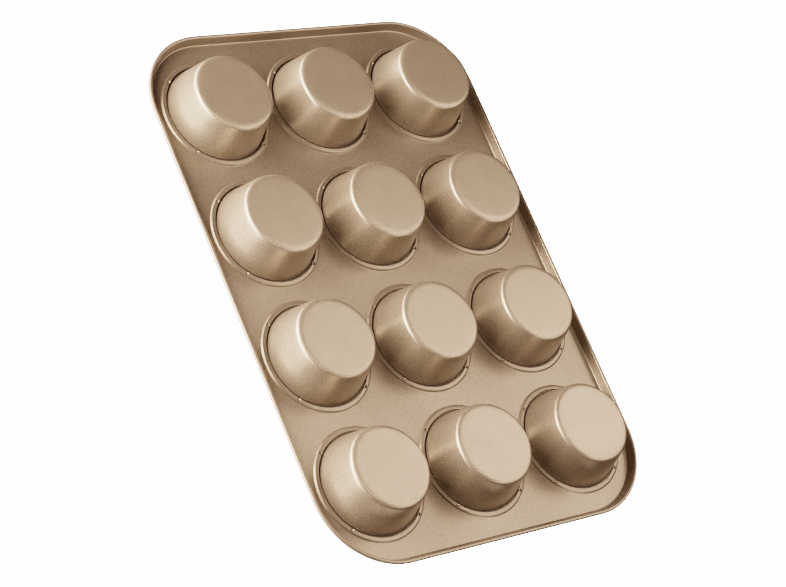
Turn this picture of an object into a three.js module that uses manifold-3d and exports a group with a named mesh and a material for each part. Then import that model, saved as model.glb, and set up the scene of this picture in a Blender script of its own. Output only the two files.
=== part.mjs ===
// Muffin pan: a pressed sheet plate with a wired, rolled rim and separate deep-drawn cups.
// Millimetres and degrees, +Z up, cup mouths up. The cup bottoms stand on z = 0, and the pan is centred
// on X and Y.

import * as THREE from 'three';
import { mergeGeometries, mergeVertices } from 'three/addons/utils/BufferGeometryUtils.js';
import Module from 'manifold-3d';

// Driving dimensions: the cups
const cupRows = 4;               // along X
const cupColumns = 3;            // along Y
const cupSheet = 0.6;            // wall thickness
const cupDepth = 29.4;           // bottom to the underside of the flange
const cupBottomRadius = 26;      // flat of the bottom
const cupEdgeRadius = 3.8;       // outside rounding between the bottom and the wall
const cupMouthRadius = 36.7;     // outside of the wall, produced up to the flange's underside
const flangeWidth = 2.75;        // mouth radius to the flange's edge
const flangeFillet = 0.5;        // outside rounding between the wall and the flange

// Driving dimensions: the plate and its seats
const plateSheet = 0.6;          // plate thickness
const seatDrop = 1.1;            // how far a seat lies below the plate
const seatBendRadius = 1.2;      // middle of the sheet, both bends of the step down to the seat
const rowWeb = 10.17;            // flat plate between neighbouring seats along X
const columnWeb = 4.37;          // flat plate between neighbouring seats along Y
const endBorder = 11.84;         // flat plate between the last seat and the rim's bend, short sides
const sideBorder = 3.94;         // the same, long sides

// Driving dimensions: the rim
const rimDepth = 7.4;            // top of the plate to the lowest point of the bead
const rimCornerRadius = 55.5;    // outer edge of the bead, in plan
const skirtBendRadius = 1.5;     // middle of the sheet, plate to skirt
const skirtFlare = 17;           // skirt's lean outwards from the vertical
const beadDiameter = 2.85;       // outside of the rolled bead
const beadTurn = 275;            // how far the bead is rolled round

// Driving dimensions: the punch marks that lock each flange in its seat
const marksPerCup = 4;
const markRadius = 1;
const markDepth = 0.35;

// Clearances
const holeClearance = 1.2;       // seat's hole, outside the mouth radius
const seatClearance = 0.4;       // flange's edge to the end of the seat's flat
const flangeGap = 0.2;           // flange's underside above the seat
const wireGap = 0.2;             // wire to the inside of the bead
const markOverrun = 0.2;         // how far a marking punch starts below the seat

// Facets
const cupSides = 24;
const cornerSides = 6;
const wireSides = 8;
const cupEdgeSteps = 3;
const flangeFilletSteps = 1;
const seatBendSteps = 1;
const skirtBendSteps = 3;
const beadSteps = 8;
const markSides = 6;

// Sizes and levels that follow from the driving dimensions
const degree = Math.PI / 180;
const halfSheet = plateSheet / 2;
const flangeRadius = cupMouthRadius + flangeWidth;
const seatFlatRadius = flangeRadius + seatClearance;
const holeRadius = cupMouthRadius + holeClearance;
const seatMiddle = cupDepth - flangeGap - halfSheet;
const plateMiddle = seatMiddle + seatDrop;
const stepAngle = Math.acos(1 - seatDrop / (2 * seatBendRadius)) / degree;
const seatRadius = seatFlatRadius + 2 * seatBendRadius * Math.sin(stepAngle * degree);
const rowPitch = 2 * seatRadius + rowWeb;
const columnPitch = 2 * seatRadius + columnWeb;

const coating = { color: 0xb89a76, roughness: 0.42, metalness: 0.75 };
const plateMaterial = new THREE.MeshStandardMaterial({ name: 'plate_coating', ...coating });
const cupMaterial = new THREE.MeshStandardMaterial({ name: 'cup_coating', ...coating });
const wireMaterial = new THREE.MeshStandardMaterial({
  name: 'wire_steel', color: 0x9a9a9c, roughness: 0.35, metalness: 1,
});

// A path through the middle of a sheet, in a plane of outward distance and height, folded like sheet
// metal: straight runs and bends. Each station keeps the direction, so both faces of the sheet can be found.
class SheetPath {
  constructor(outward, height, heading) {
    this.stations = [{ outward, height, heading }];
  }

  get last() {
    return this.stations[this.stations.length - 1];
  }

  run(length) {
    const { outward, height, heading } = this.last;
    const angle = heading * degree;
    this.stations.push({
      outward: outward + length * Math.cos(angle),
      height: height + length * Math.sin(angle),
      heading,
    });
    return this;
  }

  // A positive turn bends to the left of the heading.
  bend(radius, turn, steps) {
    const { outward, height, heading } = this.last;
    const side = Math.sign(turn) * radius;
    const centreOut = outward - side * Math.sin(heading * degree);
    const centreUp = height + side * Math.cos(heading * degree);
    for (let step = 1; step <= steps; step += 1) {
      const now = heading + (turn * step) / steps;
      this.stations.push({
        outward: centreOut + side * Math.sin(now * degree),
        height: centreUp - side * Math.cos(now * degree),
        heading: now,
      });
    }
    return this;
  }

  // Points beside the path, at a distance to the left of the heading.
  face(distance) {
    return this.stations.map(({ outward, height, heading }) => ({
      outward: outward - distance * Math.sin(heading * degree),
      height: height + distance * Math.cos(heading * degree),
    }));
  }
}

// A closed outline seen from above, counter-clockwise: corner points that each move along their own
// direction when the outline is offset outwards.
function circleOutline(centre, sides) {
  return Array.from({ length: sides }, (_, k) => {
    const angle = (2 * Math.PI * k) / sides;
    return { centre, direction: new THREE.Vector2(Math.cos(angle), Math.sin(angle)), radius: 0 };
  });
}

function roundedOutline(halfLength, halfWidth, radius) {
  const inX = halfLength - radius;
  const inY = halfWidth - radius;
  const corners = [[inX, inY], [-inX, inY], [-inX, -inY], [inX, -inY]];
  return corners.flatMap(([x, y], quarter) => Array.from({ length: cornerSides + 1 }, (_, k) => {
    const angle = (Math.PI / 2) * (quarter + k / cornerSides);
    const direction = new THREE.Vector2(Math.cos(angle), Math.sin(angle));
    return { centre: new THREE.Vector2(x, y), direction, radius };
  }));
}

const planPoint = ({ centre, direction, radius }, outward) => (
  centre.clone().addScaledVector(direction, radius + outward)
);

// A surface gathered from rings of points, where each ring is an outline at one offset and height.
class Skin {
  constructor() {
    this.positions = [];
    this.indices = [];
  }

  ring(outline, { outward, height }) {
    const first = this.positions.length / 3;
    for (const corner of outline) {
      const point = planPoint(corner, outward);
      this.positions.push(point.x, point.y, height);
    }
    return outline.map((_, k) => first + k);
  }

  band(from, to) {
    from.forEach((_, k) => {
      const next = (k + 1) % from.length;
      this.indices.push(from[k], to[k], to[next], from[k], to[next], from[next]);
    });
  }

  bands(rings) {
    for (let k = 1; k < rings.length; k += 1) this.band(rings[k - 1], rings[k]);
  }

  // Flat sheet between an outer ring and the rings round its holes, facing up or down.
  web(outerRing, holeRings, facesUp) {
    const planOf = (k) => new THREE.Vector2(this.positions[3 * k], this.positions[3 * k + 1]);
    const flat = (ring) => ring.map(planOf);
    const contour = flat(outerRing);
    const holes = holeRings.map(flat);
    const points = [contour, ...holes].flat();
    const indices = [outerRing, ...holeRings].flat();
    for (const [a, b, c] of THREE.ShapeUtils.triangulateShape(contour, holes)) {
      const isUp = THREE.ShapeUtils.area([points[a], points[b], points[c]]) > 0;
      const corners = isUp === facesUp ? [a, b, c] : [a, c, b];
      this.indices.push(...corners.map((k) => indices[k]));
    }
  }

  geometry() {
    const geometry = new THREE.BufferGeometry();
    geometry.setAttribute('position', new THREE.Float32BufferAttribute(this.positions, 3));
    geometry.setIndex(this.indices);
    geometry.computeVertexNormals();
    return geometry;
  }
}

// The rim's section, from the edge of the flat plate: bend, flared skirt and the bead rolled outwards.
const beadRadius = beadDiameter / 2;
const beadMiddleRadius = beadRadius - halfSheet;
const skirtLean = skirtFlare * degree;
const rimBend = 90 - skirtFlare;
const beadCentreHeight = plateMiddle + halfSheet - rimDepth + beadRadius;
const bendFoot = plateMiddle - skirtBendRadius * (1 - Math.cos(rimBend * degree));
const skirtFoot = beadCentreHeight - beadMiddleRadius * Math.sin(skirtLean);
const skirtLength = (bendFoot - skirtFoot) / Math.cos(skirtLean);
const beadCentreOut = skirtBendRadius * Math.sin(rimBend * degree)
  + skirtLength * Math.sin(skirtLean) + beadMiddleRadius * Math.cos(skirtLean);
const rimReach = beadCentreOut + beadRadius;
const rimPath = new SheetPath(0, plateMiddle, 0)
  .bend(skirtBendRadius, -rimBend, skirtBendSteps)
  .run(skirtLength)
  .bend(beadMiddleRadius, beadTurn, beadSteps);

// A seat's section, from the edge of its hole out to the flat plate.
const seatPath = new SheetPath(holeRadius, seatMiddle, 0)
  .run(seatFlatRadius - holeRadius)
  .bend(seatBendRadius, stepAngle, seatBendSteps)
  .bend(seatBendRadius, -stepAngle, seatBendSteps);

const webHalfLength = ((cupRows - 1) / 2) * rowPitch + seatRadius + endBorder;
const webHalfWidth = ((cupColumns - 1) / 2) * columnPitch + seatRadius + sideBorder;
const webOutline = roundedOutline(webHalfLength, webHalfWidth, rimCornerRadius - rimReach);

const cups = [];
for (let row = 0; row < cupRows; row += 1) {
  for (let column = 0; column < cupColumns; column += 1) {
    const x = ((cupRows - 1) / 2 - row) * rowPitch;
    const y = (column - (cupColumns - 1) / 2) * columnPitch;
    cups.push({ name: `cup_r${row + 1}_c${column + 1}`, centre: new THREE.Vector2(x, y) });
  }
}

function plateSheetGeometry() {
  const skin = new Skin();
  const rings = (outline, points) => points.map((point) => skin.ring(outline, point));

  const rimUpper = rings(webOutline, rimPath.face(halfSheet));
  const rimLower = rings(webOutline, rimPath.face(-halfSheet)).reverse();
  skin.bands([...rimUpper, ...rimLower]);

  const seats = cups.map(({ centre }) => {
    const outline = circleOutline(centre, cupSides);
    const lower = rings(outline, seatPath.face(-halfSheet)).reverse();
    const upper = rings(outline, seatPath.face(halfSheet));
    skin.bands([...lower, ...upper]);
    return { lowerFoot: lower[0], upperFoot: upper[upper.length - 1] };
  });

  skin.web(rimUpper[0], seats.map((seat) => seat.upperFoot), true);
  skin.web(rimLower[rimLower.length - 1], seats.map((seat) => seat.lowerFoot), false);
  return skin.geometry();
}

// Pointed punches that rise into the underside of every seat, evenly round each cup.
function markPunches() {
  const seatUnderside = seatMiddle - halfSheet;
  const height = markDepth + markOverrun;
  const markCircle = (holeRadius + seatFlatRadius) / 2;
  const punches = cups.flatMap(({ centre }) => Array.from({ length: marksPerCup }, (_, k) => {
    const angle = (2 * Math.PI * (k + 0.5)) / marksPerCup;
    const punch = new THREE.ConeGeometry(markRadius * (height / markDepth), height, markSides);
    punch.rotateX(Math.PI / 2);
    punch.translate(
      centre.x + markCircle * Math.cos(angle),
      centre.y + markCircle * Math.sin(angle),
      seatUnderside - markOverrun + height / 2,
    );
    return punch;
  }));
  return mergeGeometries(punches);
}

const wasm = await Module();
wasm.setup();

function solidOf(geometry) {
  const bare = geometry.clone();
  bare.deleteAttribute('normal');
  bare.deleteAttribute('uv');
  const merged = mergeVertices(bare);
  const vertProperties = new Float32Array(merged.attributes.position.array);
  const triVerts = new Uint32Array(merged.index.array);
  return new wasm.Manifold(new wasm.Mesh({ numProp: 3, vertProperties, triVerts }));
}

function geometryOf(solid) {
  const { vertProperties, triVerts } = solid.getMesh();
  const geometry = new THREE.BufferGeometry();
  geometry.setAttribute('position', new THREE.BufferAttribute(vertProperties, 3));
  geometry.setIndex(new THREE.BufferAttribute(triVerts, 1));
  geometry.computeVertexNormals();
  return geometry;
}

function panPlate() {
  const sheet = solidOf(plateSheetGeometry());
  const marked = sheet.subtract(solidOf(markPunches()));
  const mesh = new THREE.Mesh(geometryOf(marked), plateMaterial);
  mesh.name = 'pan_plate';
  return mesh;
}

// The wire follows the middle of the bead all the way round.
function rimWire() {
  const wireRadius = beadRadius - plateSheet - wireGap;
  const skin = new Skin();
  const rings = Array.from({ length: wireSides }, (_, k) => {
    const angle = (-2 * Math.PI * k) / wireSides;
    return skin.ring(webOutline, {
      outward: beadCentreOut + wireRadius * Math.cos(angle),
      height: beadCentreHeight + wireRadius * Math.sin(angle),
    });
  });
  skin.bands([...rings, rings[0]]);
  const mesh = new THREE.Mesh(skin.geometry(), wireMaterial);
  mesh.name = 'rim_wire';
  return mesh;
}

// A cup's section is a sheet path too: half the bottom, the rounded edge, the tapered wall and the flange.
// The wall's slope is the one that runs from the rounded edge to the mouth.
const halfCupSheet = cupSheet / 2;
const edgeMiddleRadius = cupEdgeRadius - halfCupSheet;
const filletMiddleRadius = flangeFillet + halfCupSheet;

function wallSlope() {
  // The wall is the tangent from the mouth point to the circle of the rounded edge.
  const across = cupMouthRadius - cupBottomRadius;
  const up = cupDepth - cupEdgeRadius;
  return (Math.atan2(up, across) + Math.asin(cupEdgeRadius / Math.hypot(across, up))) / degree;
}

function cupGeometry() {
  const slope = wallSlope();
  const path = new SheetPath(0, halfCupSheet, 0)
    .run(cupBottomRadius)
    .bend(edgeMiddleRadius, slope, cupEdgeSteps);
  const wallFoot = path.last;
  const filletRise = filletMiddleRadius * (1 - Math.cos(slope * degree));
  const wallTop = cupDepth + halfCupSheet - filletRise;
  path.run((wallTop - wallFoot.height) / Math.sin(slope * degree))
    .bend(filletMiddleRadius, -slope, flangeFilletSteps);
  path.run(flangeRadius - path.last.outward);

  const profile = [...path.face(-halfCupSheet), ...path.face(halfCupSheet).reverse()];
  const points = profile.map(({ outward, height }) => new THREE.Vector2(outward, height));
  const lathe = new THREE.LatheGeometry(points, cupSides, Math.PI / 2);
  lathe.rotateX(Math.PI / 2);
  return lathe;
}

function cupMeshes() {
  const geometry = cupGeometry();
  return cups.map(({ name, centre }) => {
    const mesh = new THREE.Mesh(geometry, cupMaterial);
    mesh.name = name;
    mesh.position.set(centre.x, centre.y, 0);
    return mesh;
  });
}

const pan = new THREE.Group();
pan.add(panPlate(), rimWire(), ...cupMeshes());

export default pan;
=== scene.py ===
# Muffin pan, seen from below: a pressed plate with a rolled rim, twelve drawn cups and the wire in the rim.
# Lengths are in millimetres and angles in degrees until a mesh, a lamp or the camera is made.

import bmesh
import bpy
import numpy as np
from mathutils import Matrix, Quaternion, Vector


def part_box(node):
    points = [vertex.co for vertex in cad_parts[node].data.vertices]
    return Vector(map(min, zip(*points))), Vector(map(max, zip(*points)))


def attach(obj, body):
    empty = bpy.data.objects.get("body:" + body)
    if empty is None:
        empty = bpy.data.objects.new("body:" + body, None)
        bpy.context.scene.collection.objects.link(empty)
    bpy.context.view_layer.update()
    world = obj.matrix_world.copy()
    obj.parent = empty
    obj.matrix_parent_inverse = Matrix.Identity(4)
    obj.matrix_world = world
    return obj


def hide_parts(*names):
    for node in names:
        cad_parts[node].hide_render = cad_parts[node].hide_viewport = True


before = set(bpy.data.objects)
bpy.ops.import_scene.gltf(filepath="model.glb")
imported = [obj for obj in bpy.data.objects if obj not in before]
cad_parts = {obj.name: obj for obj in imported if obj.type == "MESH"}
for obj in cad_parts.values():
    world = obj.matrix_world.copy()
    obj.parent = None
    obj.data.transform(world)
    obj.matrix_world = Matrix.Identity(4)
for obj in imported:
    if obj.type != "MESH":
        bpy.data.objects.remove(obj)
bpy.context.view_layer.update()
metre = 0.001  # metres in a millimetre
mergeWithin = 0.001  # points nearer than this are one point
nearZero = 1e-6  # differences below this count as none
noiseMean = 0.5  # of the noise textures
quarterSigns = [(1, 1), (-1, 1), (-1, -1), (1, -1)]  # of X and Y, counter-clockwise


def nodeBox(node):
    low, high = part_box(node)
    return np.array(low) / metre, np.array(high) / metre


cupNodes = sorted(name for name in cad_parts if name.startswith("cup_"))
cupCentres = {name: sum(nodeBox(name))[:2] / 2 for name in cupNodes}
plateLow, plateHigh = nodeBox("pan_plate")
cupLow, cupHigh = nodeBox(cupNodes[0])
print("frame loaded:", len(cupNodes), "cups, pan", np.round(plateHigh - plateLow, 1), "mm")


# Sheet sections

def foldSheet(outward, height, folds, heading=0.0):
    # The middle line of a folded sheet, in a plane of outward distance and height. A run of length L goes
    # from p to p + L t (cos h, sin h) at heading h. A bend of radius r turns the heading from h to h + a t
    # and moves p by r (sin, -cos) of the new heading less the same of the old one, signed by the turn.
    path = np.array([[outward, height, heading]])
    for fold in folds:
        part = np.linspace(0, 1, fold["steps"] + 1)[1:]
        start, up, heading = path[-1]
        if "turn" in fold:
            now = heading + np.radians(fold["turn"]) * part
            side = fold["radius"] * np.sign(fold["turn"])
            across = side * (np.sin(now) - np.sin(heading))
            along = side * (np.cos(heading) - np.cos(now))
        else:
            now = np.full_like(part, heading)
            across = fold["run"] * part * np.cos(heading)
            along = fold["run"] * part * np.sin(heading)
        path = np.vstack([path, np.column_stack([start + across, up + along, now])])
    return path


def sheetFace(path, distance):
    # Points beside the middle line: p + distance (-sin h, cos h). A positive distance is on the upper side.
    heading = path[:, 2:]
    return path[:, :2] + distance * np.hstack([-np.sin(heading), np.cos(heading)])


def cutEdge(station, radius, side, steps=4):
    # The rounded cut edge of a sheet: p + side radius (cos w n + sin w d), for w between 0 and 180 degrees,
    # where d is the heading and n the upper side. Side 1 closes the far end, and side -1 the near end.
    heading = station[2]
    sweep = np.linspace(0, np.pi, steps + 1)[1:-1, None]
    upper = np.array([-np.sin(heading), np.cos(heading)])
    ahead = np.array([np.cos(heading), np.sin(heading)])
    return station[:2] + side * radius * (np.cos(sweep) * upper + np.sin(sweep) * ahead)


def carry(section, feet, outwards):
    # A section carried along a path seen from above: every path point moves outwards by the section's
    # first number, and the second number is the height.
    plan = feet[None] + outwards[None] * section[:, None, :1]
    height = np.broadcast_to(section[:, None, 1:], plan.shape[:2] + (1,))
    return np.concatenate([plan, height], axis=2)


# Meshes

def makePiece(name, grids, material, node, paintedCreviceShades=None):
    # Joins grids of points, stations by steps round, into one closed mesh. Four neighbours make a face,
    # the last step meets the first, and points in the same place are merged. Painted shades hold one number
    # for every station of every grid: how much painted shade it gets in the crevice between a cup and the
    # plate.
    points, faces, first = [], [], 0
    for grid in grids:
        stations, steps = grid.shape[:2]
        here = first + np.arange(stations * steps).reshape(stations, steps)
        near, far = here[:-1], here[1:]
        around = [near, far, np.roll(far, -1, axis=1), np.roll(near, -1, axis=1)]
        faces.append(np.stack(around, axis=-1).reshape(-1, 4))
        points.append(grid.reshape(-1, 3) * metre)
        first += stations * steps
    mesh = bpy.data.meshes.new(name)
    mesh.from_pydata(np.concatenate(points), [], np.concatenate(faces))
    # Painted shade for the crevice round a cup, kept as a point attribute that the coating reads.
    if paintedCreviceShades is not None:
        depth = [np.repeat(paintedCreviceShade, grid.shape[1]) for paintedCreviceShade, grid in zip(paintedCreviceShades, grids)]
        mesh.attributes.new("paintedCreviceShade", "FLOAT", "POINT").data.foreach_set("value", np.concatenate(depth))
    work = bmesh.new()
    work.from_mesh(mesh)
    bmesh.ops.remove_doubles(work, verts=work.verts, dist=mergeWithin * metre)
    work.to_mesh(mesh)
    work.free()
    mesh.polygons.foreach_set("use_smooth", np.ones(len(mesh.polygons), dtype=bool))
    mesh.materials.append(material)
    piece = bpy.data.objects.new(name, mesh)
    bpy.context.scene.collection.objects.link(piece)
    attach(piece, "root")
    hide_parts(node)
    print(name, "has", len(mesh.vertices), "points and", len(mesh.polygons), "faces")


# Shader maths

class Socket:
    # Wraps a node's output, so that shader maths is written as Python expressions.
    def __init__(self, tree, output=None):
        self.tree = tree
        self.output = output

    def node(self, kind, settings=None, values=None, output=0):
        # Adds a node of any kind: its settings first, then the values or links of its sockets.
        node = self.tree.nodes.new(kind)
        for key, setting in (settings or {}).items():
            if key == "stops":
                for element, (place, colour) in zip(node.color_ramp.elements, setting):
                    element.position = place
                    element.color = colour
            else:
                setattr(node, key, setting)
        for key, value in (values or {}).items():
            if isinstance(value, Socket):
                self.tree.links.new(value.output, node.inputs[key])
            else:
                node.inputs[key].default_value = value
        return Socket(self.tree, node.outputs[output]) if node.outputs else None

    def maths(self, operation, *values):
        return self.node("ShaderNodeMath", {"operation": operation}, dict(enumerate(values)))

    def __add__(self, other):
        return self.maths("ADD", self, other)

    def __sub__(self, other):
        return self.maths("SUBTRACT", self, other)

    def __mul__(self, other):
        return self.maths("MULTIPLY", self, other)

    __radd__ = __add__
    __rmul__ = __mul__


def newMaterial(name):
    material = bpy.data.materials.new(name)
    material.use_nodes = True
    material.node_tree.nodes.clear()
    return material, Socket(material.node_tree)


# The satin coating of the plate and the cups

coating = {
    "colour": (0.345, 0.297, 0.245, 1),
    "shade": (0.195, 0.168, 0.139, 1),   # where the film is a little thicker
    "paintedCreviceShade": (0.016, 0.015, 0.013, 1),    # painted shade: a dark diffuse in the crevice round a cup
    "cupTone": 1.0,
    "platePaintedShadeTone": 0.8,                    # painted shade: the plate darker than the cups, for their shade on it
    "metallic": 0.6,
    "roughness": 0.32,
    "ior": 1.3,
    "grain": 0.7,                        # size of the flakes' grain
    "grainShare": 0.85,                  # of the mask between colour and shade; the rest is cloud
    "grainRoughness": 0.06,
    "cupSpread": 0.2,                    # a wider spread of the mask shows less grain
    "plateSpread": 0.28,
    "cloud": 18.0,                       # size of the film's cloudy patches
    "peel": 2.2,                         # size of the film's orange peel
    "peelBump": 0.02,
    "octaveFall": 0.6,                   # how much of each noise its finer detail keeps
}


def coatingMaterial(name, tone, spread):
    # The colour goes from shade to colour, both times the tone, while a mask of grain and cloud goes from
    # the spread below its mean to the spread above it.
    material, make = newMaterial(name)
    place = make.node("ShaderNodeTexCoord", output="Object")

    def noise(size, detail):
        return make.node("ShaderNodeTexNoise", values={
            "Vector": place,
            "Scale": 1 / (size * metre),
            "Detail": detail,
            "Roughness": coating["octaveFall"],
        })

    def stop(side, colour):
        return noiseMean + side * spread, (*(tone * band for band in colour[:3]), 1)

    grain = noise(coating["grain"], detail=1.0)
    cloud = noise(coating["cloud"], detail=2.0)
    peel = noise(coating["peel"], detail=1.0)
    mask = coating["grainShare"] * grain + (1 - coating["grainShare"]) * cloud
    colour = make.node(
        "ShaderNodeValToRGB",
        {"stops": [stop(-1, coating["shade"]), stop(1, coating["colour"])]},
        {"Fac": mask},
    )
    rough = coating["roughness"] + coating["grainRoughness"] * (grain - noiseMean)
    bump = make.node(
        "ShaderNodeBump",
        values={"Strength": 1.0, "Distance": coating["peelBump"] * metre, "Height": peel},
    )
    shader = make.node("ShaderNodeBsdfPrincipled", values={
        "Base Color": colour,
        "Metallic": coating["metallic"],
        "Roughness": rough,
        "IOR": coating["ior"],
        "Normal": bump,
    })
    # Painted shade in the crevice round a cup: a dark diffuse mixed in as far as the point attribute says.
    paintedCreviceShade = make.node("ShaderNodeAttribute", {"attribute_name": "paintedCreviceShade"}, output="Fac")
    paintedShadeBsdf = make.node("ShaderNodeBsdfDiffuse", values={"Color": coating["paintedCreviceShade"]})
    shader = make.node("ShaderNodeMixShader", values={0: paintedCreviceShade, 1: shader, 2: paintedShadeBsdf})
    make.node("ShaderNodeOutputMaterial", values={"Surface": shader})
    return material


# The steel of the rim's wire

wireSteel = {
    "colour": (0.52, 0.52, 0.54, 1),
    "roughness": 0.34,
    "roughnessSpread": 0.2,
    "draw": 0.4,             # size of the drawing marks
}


def wireMaterial(name):
    material, make = newMaterial(name)
    place = make.node("ShaderNodeTexCoord", output="Object")
    drawn = make.node(
        "ShaderNodeTexNoise",
        values={"Vector": place, "Scale": 1 / (wireSteel["draw"] * metre), "Detail": 2.0},
    )
    shader = make.node("ShaderNodeBsdfPrincipled", values={
        "Base Color": wireSteel["colour"],
        "Metallic": 1.0,
        "Roughness": wireSteel["roughness"] + wireSteel["roughnessSpread"] * (drawn - noiseMean),
    })
    make.node("ShaderNodeOutputMaterial", values={"Surface": shader})
    return material


# The plate's copy of the coating is darkened by its tone: painted shade for the shade under and between the
# cups.
plateCoating = coatingMaterial("plate_coating", coating["platePaintedShadeTone"], coating["plateSpread"])
cupCoating = coatingMaterial("cup_coating", coating["cupTone"], coating["cupSpread"])
steel = wireMaterial("wire_steel")


# Punch marks that lock each flange in its seat, on the diagonals round every cup

marks = {
    "circle": 38.9,
    "radius": 1.6,
    "depth": 1.1,
    "spread": 0.6,           # how far a mark pushes the hole's edge towards the cup
}


def pressMarks(grid, centre, spread=0.0):
    # Pushes the sheet up where a mark is: depth (1 - (d / radius)^2)^2 at a distance d from the mark. Sheet
    # on the cup's side of the mark also moves towards the cup, by the spread times the same falloff.
    aside = marks["circle"] * np.sqrt(0.5)
    outwards = grid[..., :2] - centre
    away = np.linalg.norm(np.abs(outwards) - aside, axis=-1) / marks["radius"]
    fall = np.clip(1 - away**2, 0, None) ** 2
    radius = np.linalg.norm(outwards, axis=-1)
    nearCup = np.clip((marks["circle"] - radius) / (marks["circle"] - plate["holeRadius"]), 0, 1)
    pressed = grid.copy()
    pressed[..., 2] += marks["depth"] * fall
    pressed[..., :2] -= outwards * (spread * fall * nearCup / np.maximum(radius, nearZero))[..., None]
    return pressed


# Steps round a cup, for every quarter turn

turns = {
    "even": 22,
    "fan": 2.6,              # finer steps so far to both sides of a punch mark
    "fanSteps": 12,
    "fanGap": 1.0,           # no even step so near the fan
    "cornerGap": 0.2,        # no other step so near a corner of the sheet
}


def quarterAngles(corner):
    # Even steps over a quarter turn, with a finer fan across the punch mark and a step on the corner.
    even = np.linspace(0, 90, turns["even"] + 1)
    fan = 45 + np.linspace(-turns["fan"], turns["fan"], turns["fanSteps"] + 1)
    angles = np.concatenate([even[np.abs(even - 45) > turns["fan"] + turns["fanGap"]], fan])
    if corner is not None:
        angles = np.append(angles[np.abs(angles - corner) > turns["cornerGap"]], corner)
    return np.radians(np.sort(angles))


def roundDirections(corners):
    # Unit vectors once round, counter-clockwise, from the four quarters' own angles.
    quarters = []
    for quarter, (alongX, alongY) in enumerate(quarterSigns):
        angles = quarterAngles(corners[quarter])[:: 1 if quarter % 2 == 0 else -1][:-1]
        quarters.append(np.column_stack([alongX * np.cos(angles), alongY * np.sin(angles)]))
    return np.concatenate(quarters)


# Plate: the sheet round every cup reaches to the middle between its neighbours or to the rim

plate = {
    "sheet": 0.6,
    "holeRadius": 37.9,
    "seatFlat": 40.0,        # outer radius of the seat's flat
    "seatDrop": 1.45,        # the hole's edge below the plate
    "seatRise": 7,           # the seat's flat rises outwards
    "seatBend": 0.6,         # both bends of the step, middle of the sheet
    "seatSlope": 46,
    "rimCorner": 55.5,       # outside of the bead, in plan
    "rimBend": 1.5,          # plate to skirt, middle of the sheet
    "flare": 17,             # skirt's lean outwards
    "bead": 2.85,            # outside diameter of the bead
    "beadTurn": 275,
    "edgeStrip": 0.5,        # narrow strips that keep the flats' shading flat
}
half = plate["sheet"] / 2
plateMiddle = plateHigh[2] - half
seatMiddle = plateMiddle - plate["seatDrop"]

# The step's two bends and the slope between them take up what the flat's own rise leaves of the drop.
slope = np.radians(plate["seatSlope"])
flatRise = np.radians(plate["seatRise"])
flatRun = (plate["seatFlat"] - plate["holeRadius"] - half) / np.cos(flatRise)
bendRise = plate["seatBend"] * (1 + np.cos(flatRise) - 2 * np.cos(slope))
stepRun = (plate["seatDrop"] - flatRun * np.sin(flatRise) - bendRise) / np.sin(slope)
seatPath = foldSheet(plate["holeRadius"] + half, seatMiddle, [
    {"run": flatRun, "steps": 7},
    {"radius": plate["seatBend"], "turn": plate["seatSlope"] - plate["seatRise"], "steps": 3},
    {"run": stepRun, "steps": 2},
    {"radius": plate["seatBend"], "turn": -plate["seatSlope"], "steps": 3},
], heading=flatRise)
seatSection = np.concatenate([
    sheetFace(seatPath, -half)[::-1],
    cutEdge(seatPath[0], half, -1),
    sheetFace(seatPath, half),
])
footRadius = seatPath[-1, 0]

# Painted shade in the crevice round a cup: full within one distance of its deepest place, which is an
# outward distance and a height, and none beyond another.
paintedShadeReach = {"at": (37.1, 29.2), "full": 0.4, "none": 0.75, "most": 0.8}


def paintedShadeAt(section):
    # The painted shade falls off evenly at a distance d: most (none - d) / (none - full), between 0 and
    # most.
    away = np.hypot(*(section - paintedShadeReach["at"]).T)
    return paintedShadeReach["most"] * np.clip((paintedShadeReach["none"] - away) / (paintedShadeReach["none"] - paintedShadeReach["full"]), 0, 1)


# The skirt runs from the rim's bend down to where it meets the bead.
beadRadius = plate["bead"] / 2
beadBend = beadRadius - half
lean = np.radians(plate["flare"])
beadHeight = plateLow[2] + beadRadius
skirtTop = plateMiddle - plate["rimBend"] * (1 - np.sin(lean))
skirtRun = (skirtTop - beadHeight + beadBend * np.sin(lean)) / np.cos(lean)
rimPath = foldSheet(0, plateMiddle, [
    {"radius": plate["rimBend"], "turn": plate["flare"] - 90, "steps": 7},
    {"run": skirtRun, "steps": 3},
    {"radius": beadBend, "turn": plate["beadTurn"], "steps": 18},
])
rimSection = np.concatenate([
    sheetFace(rimPath, half),
    cutEdge(rimPath[-1], half, 1),
    sheetFace(rimPath, -half)[::-1],
])
beadOut = plate["rimBend"] * np.cos(lean) + skirtRun * np.sin(lean) + beadBend * np.cos(lean)
webHalf = plateHigh[:2] - beadOut - beadRadius
webCorner = plate["rimCorner"] - beadOut - beadRadius

# The cups' pitch along X and Y is the least distance between two of their rows or columns.
pitch = np.array([np.diff(np.unique(np.round(axis, 3))).min() for axis in zip(*cupCentres.values())])


def rimOutwards(points):
    # Directions square to the rounded outline: away from the nearest point of the outline's inner rectangle.
    inner = webHalf - webCorner
    away = points - np.clip(points, -inner, inner)
    return away / np.linalg.norm(away, axis=1, keepdims=True)


def cellReach(centre):
    # How far the sheet round a cup reaches on each side: half the pitch, or to the rim.
    ends = np.array([webHalf - centre, webHalf + centre])
    return np.where(ends < pitch, ends, pitch / 2), ends < pitch


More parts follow.
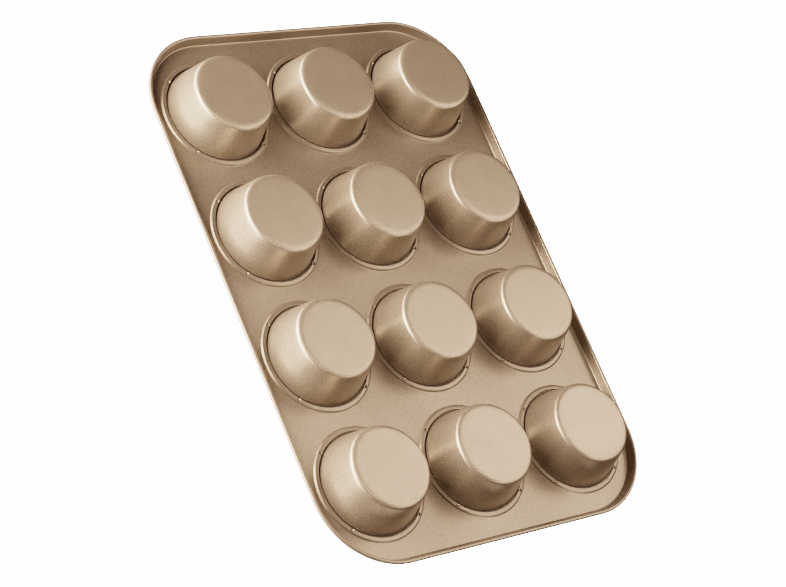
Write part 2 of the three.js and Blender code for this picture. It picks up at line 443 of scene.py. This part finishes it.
def cellEdge(centre, directions, reach):
    # Distance from a cup's centre to the edge of its sheet along each direction: to the straight sides,
    # or, past the rim's rounded corners, to the corner's circle.
    sides = np.where(directions > 0, reach[0], reach[1])
    distance = (sides / np.maximum(np.abs(directions), nearZero)).min(axis=1)
    edge = centre + directions * distance[:, None]
    inner = webHalf - webCorner
    fromCorner = centre - np.sign(edge) * inner
    along = (fromCorner * directions).sum(axis=1)
    toCircle = np.sqrt(np.maximum(along**2 + webCorner**2 - (fromCorner**2).sum(axis=1), 0)) - along
    return np.where((np.abs(edge) > inner).all(axis=1), toCircle, distance)


def plateCell(centre):
    # One cup's share of the plate, from its edge in along the underside, round the hole's edge and out
    # along the top, with the points of its edge that lie on the rim.
    reach, atRim = cellReach(centre)
    corners = []
    for alongX, alongY in [(0, 0), (1, 0), (1, 1), (0, 1)]:
        isPanCorner = atRim[alongX, 0] and atRim[alongY, 1]
        corners.append(None if isPanCorner else np.degrees(np.arctan2(reach[alongY, 1], reach[alongX, 0])))
    directions = roundDirections(corners)
    edge = cellEdge(centre, directions, reach)
    strip = plate["edgeStrip"]
    radii = np.array([edge, edge - strip, (edge + footRadius) / 2, np.full_like(edge, footRadius + strip)])
    web = directions[None] * radii[..., None] + centre

    def face(height):
        return np.dstack([web, np.full(radii.shape, height)])

    seat = carry(seatSection, np.tile(centre, (len(directions), 1)), directions)
    seat = pressMarks(seat, centre, marks["spread"])
    grid = np.concatenate([face(plateMiddle - half), seat, face(plateMiddle + half)[::-1]])
    rim = web[0]
    onSide = (np.abs(np.abs(rim) - webHalf) < nearZero).any(axis=1)
    inCorner = (np.abs(rim) > webHalf - webCorner).all(axis=1)
    return grid, rim[onSide | inCorner]


cells, rimPoints = zip(*(plateCell(centre) for centre in cupCentres.values()))
outline = np.unique(np.round(np.concatenate(rimPoints), 6), axis=0)
outline = outline[np.argsort(np.arctan2(outline[:, 1], outline[:, 0]))]
rimGrid = carry(rimSection, outline, rimOutwards(outline))
# Painted shade only on the seat's section, near the crevice round the cup; none on the web or the rim.
webPaintedShade = np.zeros((len(cells[0]) - len(seatSection)) // 2)
seatPaintedShade = np.concatenate([webPaintedShade, paintedShadeAt(seatSection), webPaintedShade])
platePaintedShades = [seatPaintedShade] * len(cells) + [np.zeros(len(rimSection))]
makePiece("panPlate", [*cells, rimGrid], plateCoating, "pan_plate", platePaintedShades)


# Wire in the bead

wire = {"gap": 0.2, "sides": 12}
sweep = np.linspace(0, -2 * np.pi, wire["sides"] + 1)
wireRadius = beadRadius - plate["sheet"] - wire["gap"]
wireSection = np.column_stack([
    beadOut + wireRadius * np.cos(sweep),
    beadHeight + wireRadius * np.sin(sweep),
])
makePiece("rimWire", [carry(wireSection, outline, rimOutwards(outline))], steel, "rim_wire")


# Cups

cup = {
    "sheet": 0.6,
    "bottomRadius": 24.5,    # flat of the bottom
    "easeRadius": 18.0,      # the bottom's flat eases into its edge, outside
    "easeTurn": 8.0,
    "edgeRadius": 3.5,       # rounded edge, outside
    "mouthRadius": 36.7,     # outside of the wall at the flange's underside
    "fillet": 0.5,           # wall to flange, outside
    "wallTop": 2.4,          # finer steps here, along the wall below the flange
}
cupHalf = cup["sheet"] / 2
flangeRadius = (cupHigh[0] - cupLow[0]) / 2
flangeMiddle = cupHigh[2] - cupHalf
filletBend = cup["fillet"] + cupHalf

# The wall is the tangent from the mouth to the circle of the rounded edge.
ease = np.radians(cup["easeTurn"])
edgeOut = cup["bottomRadius"] + (cup["easeRadius"] - cup["edgeRadius"]) * np.sin(ease)
edgeUp = cup["easeRadius"] - (cup["easeRadius"] - cup["edgeRadius"]) * np.cos(ease)
wallAcross = cup["mouthRadius"] - edgeOut
wallUp = flangeMiddle - cupHalf - edgeUp
wallTurn = np.arctan2(wallUp, wallAcross) + np.arcsin(cup["edgeRadius"] / np.hypot(wallAcross, wallUp))
edgeBend = cup["edgeRadius"] - cupHalf
edgePath = foldSheet(0, cupHalf, [
    {"run": cup["bottomRadius"], "steps": 5},
    {"radius": cup["easeRadius"] - cupHalf, "turn": cup["easeTurn"], "steps": 3},
    {"radius": edgeBend, "turn": np.degrees(wallTurn) - cup["easeTurn"], "steps": 9},
])
wallRise = flangeMiddle - filletBend * (1 - np.cos(wallTurn)) - edgePath[-1, 1]
filletEnd = edgePath[-1, 0] + wallRise / np.tan(wallTurn) + filletBend * np.sin(wallTurn)
cupPath = foldSheet(*edgePath[-1, :2], [
    {"run": wallRise / np.sin(wallTurn) - cup["wallTop"], "steps": 5},
    {"run": cup["wallTop"], "steps": 6},
    {"radius": filletBend, "turn": -np.degrees(wallTurn), "steps": 5},
    {"run": flangeRadius - cupHalf - filletEnd, "steps": 6},
], heading=wallTurn)
cupPath = np.vstack([edgePath, cupPath[1:]])
cupSection = np.concatenate([
    sheetFace(cupPath, cupHalf),
    cutEdge(cupPath[-1], cupHalf, 1),
    sheetFace(cupPath, -cupHalf)[::-1],
])
# Painted shade on the cup's outside near the crevice round it; none inside.
insidePaintedShade = np.zeros(len(cupPath))
cupPaintedShade = np.concatenate([insidePaintedShade, paintedShadeAt(cupSection[len(cupPath):])])
cupDirections = roundDirections([None] * 4)
for name, centre in cupCentres.items():
    cupGrid = carry(cupSection, np.tile(centre, (len(cupDirections), 1)), cupDirections)
    pressed = pressMarks(cupGrid, centre)
    makePiece(name.replace("cup_", "drawnCup_"), [pressed], cupCoating, name, [cupPaintedShade])


# Floor: pale, seen from above only, and fading out

floor = {"size": 4000, "colour": (0.82, 0.86, 0.9, 1), "fadeFrom": 500, "fadeTo": 1500}


def floorMaterial():
    material, make = newMaterial("pale_floor")
    place = make.node("ShaderNodeTexCoord", output="Object")
    far = make.node("ShaderNodeVectorMath", {"operation": "LENGTH"}, {0: place}, output="Value")
    fade = make.node("ShaderNodeMapRange", values={
        "Value": far,
        "From Min": floor["fadeFrom"] * metre,
        "From Max": floor["fadeTo"] * metre,
    })
    below = make.node("ShaderNodeNewGeometry", output="Backfacing")
    clear = make.node("ShaderNodeBsdfTransparent")
    pale = make.node("ShaderNodeBsdfDiffuse", values={"Color": floor["colour"]})
    hidden = make.maths("MAXIMUM", fade, below)
    shader = make.node("ShaderNodeMixShader", values={0: hidden, 1: pale, 2: clear})
    make.node("ShaderNodeOutputMaterial", values={"Surface": shader})
    return material


floorMesh = bpy.data.meshes.new("floor")
floorHalf = floor["size"] / 2 * metre
floorCorners = [(alongX * floorHalf, alongY * floorHalf, 0) for alongX, alongY in quarterSigns]
floorMesh.from_pydata(floorCorners, [], [range(len(floorCorners))])
floorMesh.materials.append(floorMaterial())
floorPlane = bpy.data.objects.new("floor", floorMesh)
bpy.context.scene.collection.objects.link(floorPlane)
for ray in ("diffuse", "glossy", "transmission", "shadow"):
    setattr(floorPlane, "visible_" + ray, False)


# Studio light: white behind, and rows of soft boxes on arcs round the pan

studio = {
    "backdrop": 9,           # bright enough to show as white
    "filterWidth": 1.25,     # in pixels, sharp like the photograph
    "distance": 900,         # of the rows' boxes from the pan's middle
    "size": 520,
    "warmth": (1, 0.8, 0.65),
    "overhead": {"height": 1300, "size": 1800, "power": 90, "warmth": (1, 0.87, 0.74)},
    "rows": [
        {"name": "wall", "turn": (255, 345), "boxes": 7, "rise": 0, "power": 4.5},
        {"name": "key", "turn": (275, 310), "boxes": 3, "rise": -25, "power": 8},
        {"name": "below", "turn": (200, 280), "boxes": 2, "rise": -70, "power": 1.1},
        {"name": "right", "turn": (90, 160), "boxes": 3, "rise": -30, "power": 2},
        {"name": "rightLow", "turn": (80, 130), "boxes": 2, "rise": -55, "power": 2.2},
        {"name": "nearHigh", "turn": (170, 210), "boxes": 3, "rise": 34, "power": 1.1},
    ],
}


def addSoftBox(name, place, size, power, warmth):
    lamp = bpy.data.lights.new(name, "AREA")
    lamp.shape = "DISK"
    lamp.size = size * metre
    lamp.energy = power
    lamp.color = warmth
    softBox = bpy.data.objects.new(name, lamp)
    softBox.location = Vector(place) * metre
    softBox.rotation_mode = "QUATERNION"
    softBox.rotation_quaternion = (-softBox.location).to_track_quat("-Z", "Y")
    softBox.visible_camera = False
    bpy.context.scene.collection.objects.link(softBox)


def lightStudio():
    # A row's boxes stand at even turns about the vertical and one rise above the horizon, in degrees:
    # distance (cos rise cos turn, cos rise sin turn, sin rise).
    world = bpy.data.worlds.new("studio")
    world.use_nodes = True
    world.node_tree.nodes.clear()
    make = Socket(world.node_tree)
    seen = make.node("ShaderNodeLightPath", output="Is Camera Ray")
    backdrop = make.node("ShaderNodeBackground", values={
        "Color": (1, 1, 1, 1),
        "Strength": studio["backdrop"] * seen,
    })
    make.node("ShaderNodeOutputWorld", values={"Surface": backdrop})
    bpy.context.scene.world = world
    over = studio["overhead"]
    addSoftBox("overhead", (0, 0, over["height"]), over["size"], over["power"], over["warmth"])
    for row in studio["rows"]:
        rise = np.radians(row["rise"])
        for number, turn in enumerate(np.radians(np.linspace(*row["turn"], row["boxes"]))):
            level = np.cos(rise) * np.array([np.cos(turn), np.sin(turn)])
            place = studio["distance"] * np.append(level, np.sin(rise))
            name = f"{row['name']}{number + 1}"
            addSoftBox(name, place, studio["size"], row["power"], studio["warmth"])


lightStudio()
bpy.context.scene.view_settings.view_transform = "Filmic"
bpy.context.scene.view_settings.look = "High Contrast"
bpy.context.scene.cycles.filter_width = studio["filterWidth"]
print("studio lit by", sum(row["boxes"] for row in studio["rows"]), "soft boxes and one overhead")


# Camera: below the pan, turned so that a short side is at the top

view = {
    "from": (-497.584, -1008.704, -1177.822),
    "at": (-17.465, -18.287, 15.0),
    "roll": -132.8367,
    "lens": 109.374,
    "sensor": 36,            # its width
    "clip": (50, 20000),
}


def placeCamera():
    lens = bpy.data.cameras.new("camera")
    lens.sensor_width = view["sensor"]
    lens.lens = view["lens"]
    lens.clip_start = view["clip"][0] * metre
    lens.clip_end = view["clip"][1] * metre
    camera = bpy.data.objects.new("camera", lens)
    camera.location = Vector(view["from"]) * metre
    camera.rotation_mode = "QUATERNION"
    aim = Vector(view["at"]) * metre - camera.location
    roll = Quaternion((0, 0, 1), np.radians(view["roll"]))
    camera.rotation_quaternion = aim.to_track_quat("-Z", "Y") @ roll
    bpy.context.scene.collection.objects.link(camera)
    bpy.context.scene.camera = camera


placeCamera()
